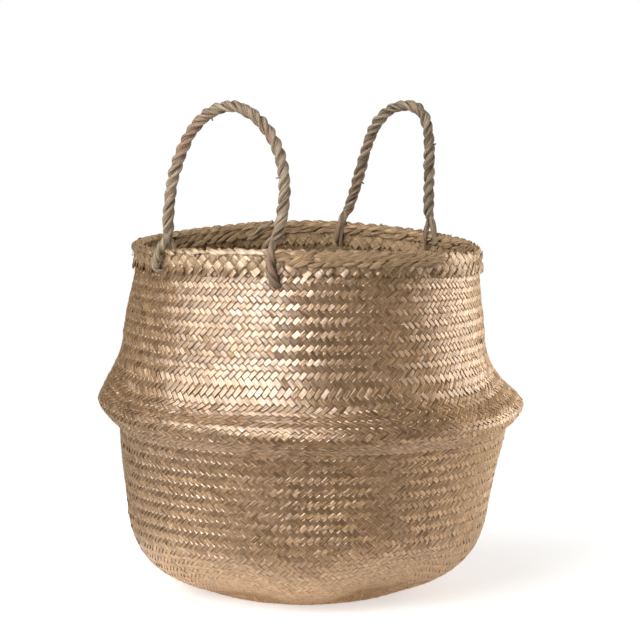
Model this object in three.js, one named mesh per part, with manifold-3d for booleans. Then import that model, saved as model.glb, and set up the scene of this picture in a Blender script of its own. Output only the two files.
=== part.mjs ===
// Rush belly basket, in millimetres, +Z up, origin on the floor under the middle of the base.
// A wide lower bowl is woven in one with a belly fold and a narrower upper wall. The wall ends in a
// turned-over border with cut tabs and a plaited edge. Two three-strand rush ropes stand on the rim:
// the front one towards -Y, the back one towards +Y. A strand of each foot laces through a hole in
// the wall and another ends inside as a short cut tail.

import * as THREE from 'three';
import { mergeVertices } from 'three/addons/utils/BufferGeometryUtils.js';
import Module from 'manifold-3d';

// Body outline, outer radius and height of each station from the floor to the rim
const baseRadius = 83;
const hipRadius = 163;
const hipHeight = 76;
const tuckRadius = 174.5;
const tuckHeight = 148;
const crestRadius = 192;
const crestHeight = 172;
const shoulderRadius = 163;
const shoulderHeight = 232;
const rimRadius = 154.5;
const rimHeight = 322;

// Fullness of the outline between its stations. Each curve leaves a station towards a pull, which lies
// at a share of the stretch's rise and stands out from the station's radius by a bulge.
const basePullWidening = 0.57;
const basePullRise = 0.18;
const kneeBulge = -7;
const kneePullRise = 0.32;
const hipBulge = 4;
const hipPullRise = 0.42;
const wallBulge = -2;
const wallPullRise = 0.29;
const tuckBulge = 1;
const tuckPullRise = 0.33;
const crestPullRise = 0.17;
const foldBulge = 2;
const foldPullRise = 0.43;
const shoulderBulge = -2;
const shoulderPullRise = 0.35;
const rimBulge = -1.5;
const rimPullRise = 0.39;

// Thickness of the woven wall, and the play between pieces that touch
const wallThickness = 4;
const clearance = 0.3;

// Turned-over border at the rim
const borderHeight = 24;
const bandThickness = 1.6;
const edgeHeight = 6;
const edgeTwists = 48;
const edgeSwell = 0.22;
const tabCount = 90;
const tabDepth = 4;
const tabSlant = 0.75;

// Three-strand rope, rope diameter over the strands and length of one full turn
const ropeDiameter = 9;
const ropePitch = 31;
const strandCount = 3;
const footTaper = 0.45;
const footTaperLength = 9;
const footLength = 4.2;

// Lacing at each foot of a handle
const holeDiameter = 5.2;
const tailLength = 17;
const tailOffset = 6.5;
const tailSlant = 5;
const tailThinning = 0.25;

// Each handle: azimuth of its middle from -Y, half the angle between its feet, and height and sideways
// place of its crown from the middle of the hinge line. Each leg leaves its foot towards a point that
// lies outside it by lean and above it by rise, and meets the crown from crownReach to its side, all
// three as shares of the crown's height. Its lacing hole lies below the rim by a share of the border's
// height, holeDepth.
const handles = {
  front: {
    azimuth: 0,
    halfAngle: 21.1,
    crownHeight: 111.5,
    crownShift: 14,
    legs: [
      { lean: 0, rise: 0.7, crownReach: 0.29, holeDepth: 0.71 },
      { lean: 0.3, rise: 0.66, crownReach: 0.19, holeDepth: 1.21 },
    ],
  },
  back: {
    azimuth: 182,
    halfAngle: 17.1,
    crownHeight: 100,
    crownShift: -20.5,
    legs: [
      { lean: -0.06, rise: 0.33, crownReach: 0.37, holeDepth: 0.79 },
      { lean: -0.21, rise: 0.35, crownReach: 0.45, holeDepth: 1.04 },
    ],
  },
};

// Facets
const segmentsAround = 52;
const kneeSteps = 6;
const wallSteps = 3;
const crestSteps = 4;
const foldSteps = 6;
const upperWallSteps = 4;
const edgeStepsPerTwist = 2;
const edgeSides = 6;
const strandSides = 5;
const strandStepsPerTurn = 7;
const holeSides = 10;
const rootArcSteps = 3;
const rootSides = 6;
const tailSteps = 4;

// Sizes worked out from the ones above. Strands lie aslant, so each one's cut across the rope is wider
// than the strand is thick, by the lean factor.
const strandLeanFactor = 1.16;
const strandRadius = (ropeDiameter / 2) / (1 + strandLeanFactor * 2 / Math.sqrt(3)) - clearance / 4;
const strandOffset = ropeDiameter / 2 - strandRadius;
const wallTop = rimHeight - edgeHeight;
const bandTop = wallTop + clearance;
const facetInset = Math.cos(Math.PI / segmentsAround);
const rootCentreRadius = rimRadius - wallThickness / 2;
const borderFace = 2 * clearance + bandThickness;
const rootTop = rimHeight + 2 * clearance + 2 * strandRadius;
const insideRadius = (rimRadius - wallThickness) * facetInset - borderFace - strandRadius;
const footRadius = footTaper * ropeDiameter / 2;
const hingeHeight = rootTop + clearance + Math.hypot(footLength, footRadius);

const wasm = await Module();
wasm.setup();

const rushGold = new THREE.MeshStandardMaterial({ color: 0xb08a5e, roughness: 0.42, metalness: 0.55 });
const rushBorder = new THREE.MeshStandardMaterial({ color: 0xa98a5c, roughness: 0.6, metalness: 0.25 });
const rushNatural = new THREE.MeshStandardMaterial({ color: 0x8f7653, roughness: 0.8, metalness: 0 });
const ropeRush = new THREE.MeshStandardMaterial({ color: 0x94815f, roughness: 0.78, metalness: 0 });

// Points of a cubic curve from a to d, pulled towards b and c, without its first point
function curvePoints(a, b, c, d, count) {
  const curve = new THREE.CubicBezierCurve(a, b, c, d);
  return curve.getPoints(count).slice(1);
}

const v2 = (radius, height) => new THREE.Vector2(radius, height);

// The outline of the upper wall, in one curve
const upperRise = rimHeight - shoulderHeight;
const shoulderPull = v2(shoulderRadius + shoulderBulge, shoulderHeight + shoulderPullRise * upperRise);
const rimPull = v2(rimRadius + rimBulge, rimHeight - rimPullRise * upperRise);
const upperCurve = new THREE.CubicBezierCurve(
  v2(shoulderRadius, shoulderHeight), shoulderPull, rimPull, v2(rimRadius, rimHeight));

// The outline of the bowl, in three curves from the edge of its base to the crest of the fold
function bowlOutline() {
  const base = v2(baseRadius, 0);
  const hip = v2(hipRadius, hipHeight);
  const tuck = v2(tuckRadius, tuckHeight);
  const crest = v2(crestRadius, crestHeight);
  const wallRise = tuckHeight - hipHeight;
  const crestRise = crestHeight - tuckHeight;
  const widening = hipRadius - baseRadius;
  const basePull = v2(baseRadius + basePullWidening * widening, basePullRise * hipHeight);
  const kneePull = v2(hipRadius + kneeBulge, kneePullRise * hipHeight);
  const hipPull = v2(hipRadius + hipBulge, hipHeight + hipPullRise * wallRise);
  const wallPull = v2(tuckRadius + wallBulge, tuckHeight - wallPullRise * wallRise);
  const tuckPull = v2(tuckRadius + tuckBulge, tuckHeight + tuckPullRise * crestRise);
  const crestPull = v2(crestRadius, crestHeight - tuckPullRise * crestRise);
  return [
    base,
    ...curvePoints(base, basePull, kneePull, hip, kneeSteps),
    ...curvePoints(hip, hipPull, wallPull, tuck, wallSteps),
    ...curvePoints(tuck, tuckPull, crestPull, crest, crestSteps),
  ];
}

// The outline of the belly fold, in one curve from its crest to its shoulder
function foldOutline() {
  const crest = v2(crestRadius, crestHeight);
  const shoulder = v2(shoulderRadius, shoulderHeight);
  const rise = shoulderHeight - crestHeight;
  const crestPull = v2(crestRadius, crestHeight + crestPullRise * rise);
  const foldPull = v2(shoulderRadius + foldBulge, crestHeight + foldPullRise * rise);
  return [crest, ...curvePoints(crest, crestPull, foldPull, shoulder, foldSteps)];
}

// Outer radius of the upper wall at a height, found by halving the curve time and again
function upperRadius(height) {
  const halvings = 30;
  let low = 0;
  let high = 1;
  for (let i = 0; i < halvings; i += 1) {
    const middle = (low + high) / 2;
    if (upperCurve.getPoint(middle).y < height) low = middle;
    else high = middle;
  }
  return upperCurve.getPoint(low).x;
}

// The inner face of a wall: its outer points moved in along the wall's own normal
function innerFace(points, thickness) {
  return points.map((point, i) => {
    const before = points[Math.max(i - 1, 0)];
    const after = points[Math.min(i + 1, points.length - 1)];
    const along = after.clone().sub(before).normalize();
    return v2(point.x - along.y * thickness, point.y + along.x * thickness);
  });
}

// Solid of revolution about +Z from a closed outline that runs up its outer side
function revolve(points) {
  const geometry = new THREE.LatheGeometry(points, segmentsAround);
  geometry.rotateX(Math.PI / 2);
  return weld(geometry);
}

// Shared corners merged and faces without area dropped
function weld(geometry) {
  geometry.deleteAttribute('normal');
  geometry.deleteAttribute('uv');
  const mergeDistance = 1e-4;
  const merged = mergeVertices(geometry, mergeDistance);
  const kept = [];
  const index = merged.index.array;
  for (let i = 0; i < index.length; i += 3) {
    const [a, b, c] = [index[i], index[i + 1], index[i + 2]];
    if (a !== b && b !== c && c !== a) kept.push(a, b, c);
  }
  merged.setIndex(kept);
  return merged;
}

// Skin over a row of sections with equal point counts, as a closed ring or with two end caps
function loft(sections, ring) {
  const count = sections[0].length;
  const positions = sections.flat().flatMap((point) => point.toArray());
  const index = [];
  const rows = ring ? sections.length : sections.length - 1;
  for (let row = 0; row < rows; row += 1) {
    const next = (row + 1) % sections.length;
    for (let i = 0; i < count; i += 1) {
      const j = (i + 1) % count;
      const [a, b, c, d] = [row * count + i, row * count + j, next * count + j, next * count + i];
      index.push(a, b, c, a, c, d);
    }
  }
  if (!ring) {
    const last = (sections.length - 1) * count;
    for (let i = 1; i < count - 1; i += 1) {
      index.push(0, i + 1, i, last, last + i, last + i + 1);
    }
  }
  const geometry = new THREE.BufferGeometry();
  geometry.setAttribute('position', new THREE.Float32BufferAttribute(positions, 3));
  geometry.setIndex(index);
  return geometry;
}

// Round section of a strand across its direction, turned steadily so that the skin does not twist
function roundSection(centre, direction, across, radius, sides) {
  const side = across.clone().addScaledVector(direction, -across.dot(direction)).normalize();
  const other = direction.clone().cross(side);
  return Array.from({ length: sides }, (_, i) => {
    const angle = (2 * Math.PI * i) / sides;
    return centre.clone().addScaledVector(side, radius * Math.cos(angle))
      .addScaledVector(other, radius * Math.sin(angle));
  });
}

function toSolid(geometry) {
  return new wasm.Manifold(new wasm.Mesh({
    numProp: 3,
    vertProperties: new Float32Array(geometry.attributes.position.array),
    triVerts: new Uint32Array(geometry.index.array),
  }));
}

function toGeometry(solid) {
  const mesh = solid.getMesh();
  const geometry = new THREE.BufferGeometry();
  geometry.setAttribute('position', new THREE.BufferAttribute(mesh.vertProperties, 3));
  geometry.setIndex(new THREE.BufferAttribute(mesh.triVerts, 1));
  return geometry;
}

const group = new THREE.Group();

function addPiece(name, geometry, material) {
  const mesh = new THREE.Mesh(geometry, material);
  mesh.name = name;
  geometry.computeVertexNormals();
  group.add(mesh);
}

const radians = THREE.MathUtils.degToRad;

// Direction from the middle of the basket at an azimuth counted from -Y towards +X
function outward(azimuth) {
  return new THREE.Vector3(Math.sin(radians(azimuth)), -Math.cos(radians(azimuth)), 0);
}

// The two feet of each handle, with their lacing holes
const feet = Object.entries(handles).flatMap(([side, handle]) => handle.legs.map((leg, i) => ({
  side,
  number: i + 1,
  azimuth: handle.azimuth + (i === 0 ? -1 : 1) * handle.halfAngle,
  holeHeight: rimHeight - leg.holeDepth * borderHeight,
})));

// Lacing holes as round bars through the wall and past both bands, cut from each piece they cross
function cutHoles(geometry) {
  const length = wallThickness + 4 * borderFace;
  let solid = toSolid(geometry);
  for (const foot of feet) {
    const bar = new THREE.CylinderGeometry(holeDiameter / 2, holeDiameter / 2, length, holeSides);
    bar.rotateZ(radians(foot.azimuth));
    const centre = outward(foot.azimuth).multiplyScalar(rootCentreRadius);
    bar.translate(centre.x, centre.y, foot.holeHeight);
    solid = solid.subtract(toSolid(weld(bar)));
  }
  return toGeometry(solid);
}

// Woven body: bowl with its flat base, belly fold, and upper wall

function lowerBowl() {
  const outer = bowlOutline();
  const top = outer[outer.length - 1];
  top.y -= clearance / 2;
  const inner = innerFace(outer.slice(1), wallThickness).reverse();
  inner[0] = v2(crestRadius - wallThickness, top.y);
  return revolve([v2(0, 0), ...outer, ...inner, v2(baseRadius, wallThickness), v2(0, wallThickness)]);
}

function bellyFold() {
  const outer = foldOutline();
  outer[0].y += clearance / 2;
  outer[outer.length - 1].y -= clearance / 2;
  const inner = innerFace(outer, wallThickness).reverse();
  inner[0].y = outer[outer.length - 1].y;
  inner[inner.length - 1] = v2(crestRadius - wallThickness, outer[0].y);
  return revolve([...outer, ...inner, outer[0].clone()]);
}

function upperWall() {
  const start = shoulderHeight + clearance / 2;
  const outer = Array.from({ length: upperWallSteps + 1 }, (_, i) => {
    const height = start + ((wallTop - start) * i) / upperWallSteps;
    return v2(upperRadius(height), height);
  });
  const inner = outer.map((point) => v2(point.x - wallThickness, point.y)).reverse();
  return cutHoles(revolve([...outer, ...inner, outer[0].clone()]));
}

// Border of wide strips turned down over the wall: a band whose lower edge is cut in slanting tabs
function rimBand(faceRadius, direction) {
  const sections = [];
  const bottom = rimHeight - borderHeight;
  for (let i = 0; i < tabCount; i += 1) {
    for (const [share, lower] of [[0, bottom], [tabSlant, bottom + tabDepth]]) {
      const azimuth = (360 * (i + share)) / tabCount;
      const out = outward(azimuth);
      const corners = [[0, lower], [bandThickness, lower], [bandThickness, bandTop], [0, bandTop]];
      sections.push(corners.map(([step, height]) => {
        const radius = faceRadius(height) + direction * step;
        return out.clone().multiplyScalar(radius).setZ(height);
      }));
    }
  }
  if (direction > 0) sections.reverse();
  return cutHoles(loft(sections, true));
}

// Plaited edge: an oval cord that turns over and over along the top of the wall
function rimEdgeBraid() {
  const steps = edgeTwists * edgeStepsPerTwist;
  const middle = rimRadius - wallThickness / 2;
  const centreHeight = bandTop + clearance + (rimHeight - bandTop - clearance) / 2;
  const halfHeight = rimHeight - centreHeight;
  const halfWidth = wallThickness / 2 + clearance + bandThickness;
  const sections = Array.from({ length: steps }, (_, step) => {
    const out = outward((360 * step) / steps);
    const lobe = 1 - (step % edgeStepsPerTwist ? edgeSwell : 0);
    return Array.from({ length: edgeSides }, (__, i) => {
      const angle = (2 * Math.PI * i) / edgeSides;
      const radius = middle + halfWidth * lobe * Math.cos(angle);
      return out.clone().multiplyScalar(radius).setZ(centreHeight + halfHeight * Math.sin(angle));
    });
  });
  return loft(sections.reverse(), true);
}

// Rope handle: the middle line of a handle in its own upright plane through both feet

function handleLine(handle) {
  const chord = rootCentreRadius * Math.cos(radians(handle.halfAngle));
  const halfSpan = rootCentreRadius * Math.sin(radians(handle.halfAngle));
  const out = outward(handle.azimuth);
  const along = new THREE.Vector3(Math.cos(radians(handle.azimuth)), Math.sin(radians(handle.azimuth)), 0);
  const place = (sideways, height) => out.clone().multiplyScalar(chord)
    .addScaledVector(along, sideways).setZ(hingeHeight + height);
  const [first, second] = handle.legs;
  const { crownHeight: top, crownShift: shift } = handle;
  const crown = place(shift, top);
  const path = new THREE.CurvePath();
  path.add(new THREE.CubicBezierCurve3(
    place(-halfSpan, -footLength), place(-halfSpan - first.lean * top, first.rise * top),
    place(shift - first.crownReach * top, top), crown));
  path.add(new THREE.CubicBezierCurve3(
    crown, place(shift + second.crownReach * top, top),
    place(halfSpan + second.lean * top, second.rise * top), place(halfSpan, -footLength)));
  return { path, out };
}

// One strand: a right-handed helix round the rope's middle line, drawn in at both feet
function ropeStrand(handle, number) {
  const { path, out } = handleLine(handle);
  const length = path.getLength();
  const turns = Math.round(length / ropePitch);
  const steps = turns * strandStepsPerTurn;
  const nudge = 0.25 / steps;
  const start = (2 * Math.PI * number) / strandCount;
  const drawIn = (share) => {
    const toFoot = Math.min(share, 1 - share) * length;
    return footTaper + (1 - footTaper) * THREE.MathUtils.smoothstep(toFoot, 0, footTaperLength);
  };
  const centreAt = (share) => {
    const tangent = path.getTangentAt(share);
    const side = out.clone().cross(tangent).normalize();
    const angle = start + 2 * Math.PI * turns * share;
    const offset = strandOffset * drawIn(share);
    return path.getPointAt(share).addScaledVector(side, offset * Math.cos(angle))
      .addScaledVector(tangent.clone().cross(side), offset * Math.sin(angle));
  };
  const sections = Array.from({ length: steps + 1 }, (_, step) => {
    const share = step / steps;
    const centre = centreAt(share);
    const ahead = centreAt(Math.min(share + nudge, 1));
    const direction = ahead.sub(centreAt(Math.max(share - nudge, 0))).normalize();
    const across = centre.clone().sub(path.getPointAt(share));
    return roundSection(centre, direction, across, strandRadius * drawIn(share), strandSides);
  });
  return loft(sections, false);
}

// Lacing strand at a foot: over the rim, down both faces of the wall and through its hole
function handleRoot(foot) {
  const out = outward(foot.azimuth);
  const along = new THREE.Vector3(0, 0, 1).cross(out);
  const low = foot.holeHeight;
  const outside = upperRadius(low) + borderFace + strandRadius;
  const reach = (outside - insideRadius) / 2;
  const corner = reach / 2;
  const archHeight = rootTop - strandRadius - reach;
  const path = new THREE.Path();
  path.moveTo(outside, low + corner);
  path.lineTo(outside, archHeight);
  path.absarc(outside - reach, archHeight, reach, 0, Math.PI, false);
  path.lineTo(insideRadius, low + corner);
  path.absarc(insideRadius + corner, low + corner, corner, Math.PI, 1.5 * Math.PI, false);
  path.lineTo(outside - corner, low);
  path.absarc(outside - corner, low + corner, corner, 1.5 * Math.PI, 2 * Math.PI, false);
  const points = path.getPoints(rootArcSteps).slice(1);
  const at = (i) => {
    const { x: radius, y: height } = points[(i + points.length) % points.length];
    return out.clone().multiplyScalar(radius).setZ(height);
  };
  return loft(points.map((_, i) => {
    const direction = at(i + 1).sub(at(i - 1)).normalize();
    return roundSection(at(i), direction, along, strandRadius, rootSides);
  }), true);
}

// Cut tail: the end of another strand, lying on the inner face of the border beside the lacing
function handleTail(foot) {
  const out = outward(foot.azimuth);
  const along = new THREE.Vector3(0, 0, 1).cross(out);
  const towardsMiddle = foot.number === 1 ? 1 : -1;
  const sections = Array.from({ length: tailSteps + 1 }, (_, step) => {
    const share = step / tailSteps;
    const height = rimHeight - clearance - share * tailLength;
    const sideways = towardsMiddle * (tailOffset + tailSlant * share);
    const angle = sideways / insideRadius;
    const centre = out.clone().multiplyScalar(insideRadius * Math.cos(angle))
      .addScaledVector(along, insideRadius * Math.sin(angle));
    return { centre: centre.setZ(height), radius: strandRadius * (1 - tailThinning * share) };
  });
  const direction = sections[tailSteps].centre.clone().sub(sections[0].centre).normalize();
  const skin = sections.map(({ centre, radius }) => (
    roundSection(centre, direction, out, radius, strandSides)));
  return loft(skin, false);
}

addPiece('lower_bowl', lowerBowl(), rushGold);
addPiece('belly_fold', bellyFold(), rushGold);
addPiece('upper_wall', upperWall(), rushGold);
addPiece('rim_band_outer', rimBand((height) => upperRadius(height) + clearance, 1), rushBorder);
addPiece('rim_band_inner',
  rimBand((height) => (upperRadius(height) - wallThickness) * facetInset - clearance, -1), rushNatural);
addPiece('rim_edge_braid', rimEdgeBraid(), rushBorder);

for (const [side, handle] of Object.entries(handles)) {
  for (let number = 1; number <= strandCount; number += 1) {
    addPiece(`${side}_handle_strand_${number}`, ropeStrand(handle, number), ropeRush);
  }
}

for (const foot of feet) {
  addPiece(`${foot.side}_handle_root_${foot.number}`, handleRoot(foot), ropeRush);
  addPiece(`${foot.side}_handle_tail_${foot.number}`, handleTail(foot), ropeRush);
}

export default group;
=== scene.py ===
import math

import bmesh
import bpy
import numpy as np
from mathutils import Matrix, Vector


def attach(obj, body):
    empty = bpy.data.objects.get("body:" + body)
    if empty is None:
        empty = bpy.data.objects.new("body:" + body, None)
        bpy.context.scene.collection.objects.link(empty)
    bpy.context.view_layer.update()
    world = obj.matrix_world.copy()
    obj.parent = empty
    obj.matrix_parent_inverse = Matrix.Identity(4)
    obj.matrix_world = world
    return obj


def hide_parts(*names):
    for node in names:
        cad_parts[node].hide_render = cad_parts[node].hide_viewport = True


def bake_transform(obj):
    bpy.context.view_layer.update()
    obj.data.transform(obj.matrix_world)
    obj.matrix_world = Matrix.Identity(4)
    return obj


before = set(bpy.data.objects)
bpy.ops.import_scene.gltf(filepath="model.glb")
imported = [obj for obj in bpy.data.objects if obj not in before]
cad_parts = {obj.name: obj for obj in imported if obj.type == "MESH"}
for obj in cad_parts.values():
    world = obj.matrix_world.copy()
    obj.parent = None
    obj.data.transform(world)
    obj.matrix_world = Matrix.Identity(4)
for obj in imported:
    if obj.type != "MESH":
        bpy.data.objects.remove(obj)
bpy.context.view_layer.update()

# Rush belly basket: the woven wall, the border, the plait and the ropes are made here, strip by strip,
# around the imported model. Lengths are in millimetres until a piece is finished.

MM = 0.001
RANDOM_SEED = 20
rng = np.random.default_rng(RANDOM_SEED)

# Outline of the body from the edge of the base to the rim: five cubic curves of (radius, height)
BODY_CURVES = [
    [(83, 0), (128.6, 13.7), (156, 24.3), (163, 76)],
    [(163, 76), (167, 106.2), (172.5, 127.1), (174.5, 148)],
    [(174.5, 148), (175.5, 155.9), (192, 164.1), (192, 172)],
    [(192, 172), (192, 182.2), (165, 197.8), (163, 232)],
    [(163, 232), (161, 263.5), (153, 286.9), (154.5, 322)],
]
RIM_HEIGHT = 322
WALL_TOP = 317
UPPER_START = 236

# Weave of the wall: strips of each of the two directions around the body, and the slant of a strip
# from level at some heights
STRIPS = 168
SLANT_HEIGHTS = [0, 30, 60, 100, 150, 172, 195, 235, 322]
SLANT_DEGREES = [47, 45, 43, 41, 40, 35, 37, 45, 45]

# One strip: its share of its space, its thickness, the height and the place across (-1 to 1) of the ridge
# along it, its tilt by its direction and by itself, and how far it rises and dives
STRIP_COVER = 0.97
STRIP_THICKNESS = 0.42
STRIP_RIDGE = 0.24
RIDGE_PLACE = -0.55
STRIP_SHINGLE = 0.18
STRIP_TILT = 0.12
WEAVE_AMPLITUDE = 0.62

# Unevenness by hand, as the knots along a strip and the spread at each: how far a strip wanders
# sideways, and how its breadth, tilt, lift and ridge vary
DRIFT = (24, 0.03)
BREADTH = (30, 0.05)
TILT = (60, 0.18)
SWELL = (70, 0.12)
RIDGE = (20, 0.35)
BREADTH_LIMITS = (0.86, 1.05)

# How far the middle of the wall lies inside the outline, the radius at which the strips start in the
# base, and how far they sink there, less and less between two radii
WALL_INSET = 1.45
INNER_START = 76
BASE_SINK = 0.4
BASE_SINK_ENDS = (79, 100)


def on_curve(points, share):
    """Points of a cubic curve at shares of its run."""
    a, b, c, d = (np.array(p, float) for p in points)
    t = np.asarray(share, float)[:, None]
    return (1 - t) ** 3 * a + 3 * (1 - t) ** 2 * t * b + 3 * (1 - t) * t * t * c + t ** 3 * d


def smooth(x, low, high):
    """Smooth step from 0 at low to 1 at high."""
    t = np.clip((x - low) / (high - low), 0, 1)
    return t * t * (3 - 2 * t)


def band(x, start, full, fade, stop):
    """Smooth rise from 0 at start to 1 at full, and fall from 1 at fade to 0 at stop."""
    return smooth(x, start, full) * (1 - smooth(x, fade, stop))


def unit(vectors):
    """Vectors brought to a length of 1."""
    return vectors / np.linalg.norm(vectors, axis=-1, keepdims=True)


def direction_at(azimuth, elevation=0):
    """Unit direction at degrees round from -Y towards +X and degrees up from level."""
    turn, rise = math.radians(azimuth), math.radians(elevation)
    return np.array([math.sin(turn) * math.cos(rise), -math.cos(turn) * math.cos(rise), math.sin(rise)])


# The middle surface of the wall, as rows of radius, height and outward normal along the outline

shares = np.linspace(0, 1, 61)
outline = np.concatenate(
    [np.stack([np.linspace(INNER_START, BODY_CURVES[0][0][0], 12, endpoint=False), np.zeros(12)], 1)]
    + [on_curve(curve, shares if i == 0 else shares[1:]) for i, curve in enumerate(BODY_CURVES)])
along_outline = unit(np.gradient(outline, axis=0))
normals = np.stack([along_outline[:, 1], -along_outline[:, 0]], 1)
middle = outline - WALL_INSET * normals
middle[:, 1] -= BASE_SINK * (1 - smooth(middle[:, 0], *BASE_SINK_ENDS))
middle = middle[middle[:, 1] <= WALL_TOP + 0.5]
normals = normals[: len(middle)]
step_lengths = np.linalg.norm(np.diff(middle, axis=0), axis=1)
slants = np.radians(np.interp(middle[:, 1], SLANT_HEIGHTS, SLANT_DEGREES))
row_rise = math.pi * middle[:, 0] / STRIPS * np.tan(slants)
row_at = np.concatenate([[0], np.cumsum(step_lengths / ((row_rise[1:] + row_rise[:-1]) / 2))])
ROWS = int(round(row_at[-1]))
row_at *= ROWS / row_at[-1]


# Dents outwards and upwards, as waves round the body: (size, waves, start, turn per millimetre of height)
OUT_WAVES = [(0.5, 3, 1.3, 1 / 70), (0.35, 5, 0.4, -1 / 45), (0.25, 9, 2, 1 / 33)]
UP_WAVES = [(0.7, 2, 0.6, 0), (0.4, 5, 2.2, 1 / 60)]

# The direction of the right flank, as the photograph shows it, and how far the hand-woven body leans
# that way at some heights
FLANK = math.radians(122.3)
LEAN_HEIGHTS = [0, 30, 75, 115, 140, 150, 160, 172, 182, 190, 204, 218, 233, 262, 290, 322]
LEANS = [-3.4, -2.7, -1.3, 0.4, 2.5, 3.0, 2.0, 1.4, 0.5, -2.7, -4.6, -4.5, -4.0, -2.7, -0.8, 0]

# How far the crest tilts down to the right, the rim droops at the flanks, more so at the right, and at
# the back, the crest and the ledge over it drop at the front, the wall swells there under the crest, and
# the base's edge curls up, more so at the right
CREST_TILT = 2.8
RIM_DROOP = 6.5
RIGHT_DROOP = 4.8
BACK_DROOP = 2.5
CREST_DROP = 5.8
LEDGE_DROP = 5.0
UNDER_SWELL = 4.5
BASE_CURL = 7.5
RIGHT_BASE_CURL = 1.5

# Heights at which the tilt, the two drops and the swell start, are full, fade and end
TILT_ZONE = (120, 165, 180, UPPER_START)
CREST_ZONE = (142, 166, 196, 216)
LEDGE_ZONE = (176, 194, 196, 218)
SWELL_ZONE = (128, 150, 154, 170)


def dents(waves, angle, height):
    """The sum of some waves at an angle round and a height."""
    return sum(size * np.sin(count * angle + start + turn * height) for size, count, start, turn in waves)


def sway(angle, height):
    """Dents and lean of a hand-woven body: how far a point moves outwards and upwards. The crest of the
    fold lies lower at the right flank, and the rim droops between the handles."""
    free = smooth(height, 4, 40)
    to_flank = np.cos(angle - FLANK)
    out = dents(OUT_WAVES, angle, height) * free + to_flank * np.interp(height, LEAN_HEIGHTS, LEANS)
    up = dents(UP_WAVES, angle, height) * free * height / RIM_HEIGHT
    up = up - CREST_TILT * to_flank * band(height, *TILT_ZONE)
    front = smooth(np.sin(FLANK - angle), 0.1, 0.6)
    leftward = 1 - 0.6 * smooth(to_flank, -0.1, 0.6)
    up = up - CREST_DROP * front * band(height, *CREST_ZONE)
    ledge = front * leftward * (1 + 0.15 * np.sin(9 * angle + 1))
    up = up - LEDGE_DROP * ledge * band(height, *LEDGE_ZONE)
    out = out + UNDER_SWELL * front * leftward * band(height, *SWELL_ZONE)
    droop = RIM_DROOP * to_flank ** 2 + RIGHT_DROOP * np.clip(to_flank, 0, 1) ** 2
    droop = droop + BACK_DROOP * np.clip(np.sin(angle - FLANK), 0, 1)
    return out, up - droop * smooth(height, UPPER_START, RIM_HEIGHT)


def base_curl(angle, radius, height):
    """How far the edge of the base curls up off the floor, to both sides of the photograph's view."""
    to_flank = np.cos(angle - FLANK)
    curl = band(np.abs(to_flank), 0.06, 0.5, 0.66, 0.92)
    size = BASE_CURL + RIGHT_BASE_CURL * np.sign(to_flank)
    return size * curl * smooth(radius, 80, 93) * (1 - smooth(height, 24, 60))


def swayed(angle, radius, height, curl=0):
    """Points at angles round from -Y towards +X, radii and heights, moved as the body is."""
    out, up = sway(angle, height)
    radius = radius + out
    return np.stack([radius * np.sin(angle), -radius * np.cos(angle), height + up + curl], -1)


def on_wall(angle, row, lift):
    """Points on rows of crossings, lifted off the middle surface."""
    radius = np.interp(row, row_at, middle[:, 0]) + lift * np.interp(row, row_at, normals[:, 0])
    height = np.interp(row, row_at, middle[:, 1]) + lift * np.interp(row, row_at, normals[:, 1])
    return swayed(angle, radius, height, base_curl(angle, radius, height))


def wander(count, stations, knots, size):
    """A slow random drift along each of count strips, at stations from 0 to 1."""
    values = rng.normal(0, size, (count, knots + 1))
    place = np.clip(stations, 0, 1) * knots
    low = np.minimum(place.astype(int), knots - 1)
    part = smooth(place - low, 0, 1)
    return values[:, low] * (1 - part) + values[:, low + 1] * part


# Strips of rush: each piece starts as flat strips side by side, which are then bent into place

STRIP_SPACING = 4


def as_mesh(bm, name):
    """Turns a bmesh into a mesh, and gives the places of its vertices along x, y and z."""
    mesh = bpy.data.meshes.new(name)
    bm.to_mesh(mesh)
    bm.free()
    flat = np.zeros(len(mesh.vertices) * 3)
    mesh.vertices.foreach_get("co", flat)
    return mesh, *flat.reshape(-1, 3).T


def add_object(name, data):
    """A new object in the scene."""
    made = bpy.data.objects.new(name, data)
    bpy.context.scene.collection.objects.link(made)
    return made


def whole_numbers(items, key):
    """One whole number of each of a mesh's items."""
    values = np.zeros(len(items), int)
    items.foreach_get(key, values)
    return values


def flat_strips(count, across, along):
    """Flat closed strips in a row, as a mesh, with each vertex's strip, place across (-1 to 1), place
    along (0 to 1) and side (1 above, 0 below)."""
    bm = bmesh.new()
    bmesh.ops.create_grid(bm, x_segments=across, y_segments=along, size=1)
    bmesh.ops.solidify(bm, geom=bm.faces[:], thickness=1)
    bmesh.ops.spin(bm, geom=bm.verts[:] + bm.edges[:] + bm.faces[:], axis=(0, 0, 1),
                   dvec=(STRIP_SPACING, 0, 0), steps=count - 1, use_duplicate=True)
    bmesh.ops.recalc_face_normals(bm, faces=bm.faces[:])
    mesh, x, y, z = as_mesh(bm, "strips")
    strip = np.rint(x / STRIP_SPACING).astype(int)
    return mesh, strip, x - strip * STRIP_SPACING, (y + 1) / 2, z + 1


def long_tube(sides, along):
    """A round bar of many short rings with closed ends, as a mesh, with each vertex's place round
    (radians), place along (0 to 1) and distance from its middle line (1 on the skin)."""
    bm = bmesh.new()
    bmesh.ops.create_cone(bm, cap_ends=True, segments=sides, radius1=1, radius2=1, depth=1)
    lengthwise = [e for e in bm.edges if abs(e.verts[0].co.z - e.verts[1].co.z) > 0.5]
    bmesh.ops.subdivide_edges(bm, edges=lengthwise, cuts=along - 1)
    bmesh.ops.recalc_face_normals(bm, faces=bm.faces[:])
    mesh, x, y, z = as_mesh(bm, "tube")
    return mesh, np.arctan2(y, x), z + 0.5, np.hypot(x, y)


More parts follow.
